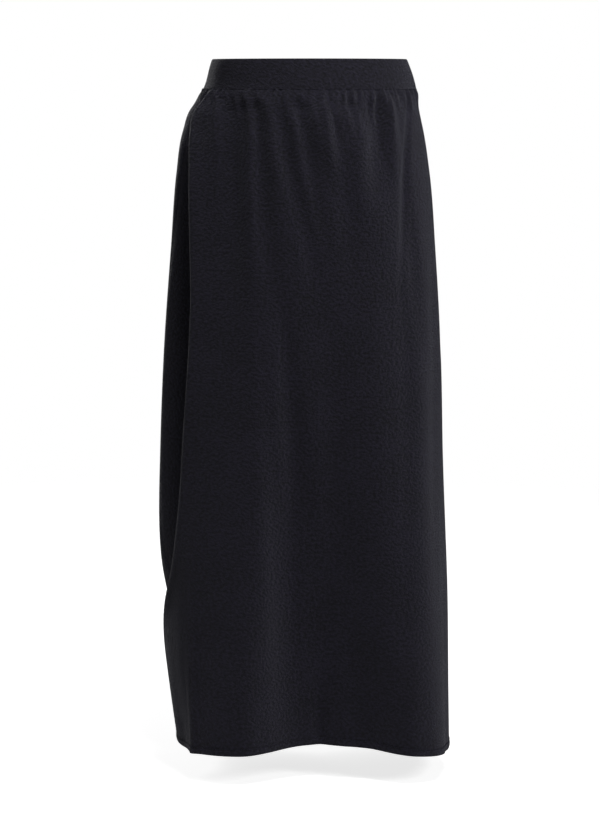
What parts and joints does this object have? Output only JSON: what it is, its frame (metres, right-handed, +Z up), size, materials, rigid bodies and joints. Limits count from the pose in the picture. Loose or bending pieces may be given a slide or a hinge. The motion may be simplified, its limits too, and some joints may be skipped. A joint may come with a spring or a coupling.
{
  "type": "knit skirt",
  "caption": "Long knit skirt in worn shape: an elastic waistband, gathered front and back panels hanging in soft folds, and a narrow hem welt.",
  "frame": {"origin": "centre of the waistband's opening, at the middle of the band's height, where the wearer holds the skirt up", "axes": "+Z up along the skirt's length, -Y the front, +X the wearer's left"},
  "size_m": [0.4338, 0.3278, 1.0171],
  "materials": {
    "band_knit": "black doubled knit over elastic, smooth and dull",
    "body_knit": "black fine plain knit, dull with a soft light edge",
    "hem_knit": "black narrow knitted welt"
  },
  "bodies": {
    "root": {"waistband": "band_knit", "front_panel": "body_knit", "back_panel": "body_knit", "hem_front": "hem_knit", "hem_back": "hem_knit"}
  },
  "joints": []
}
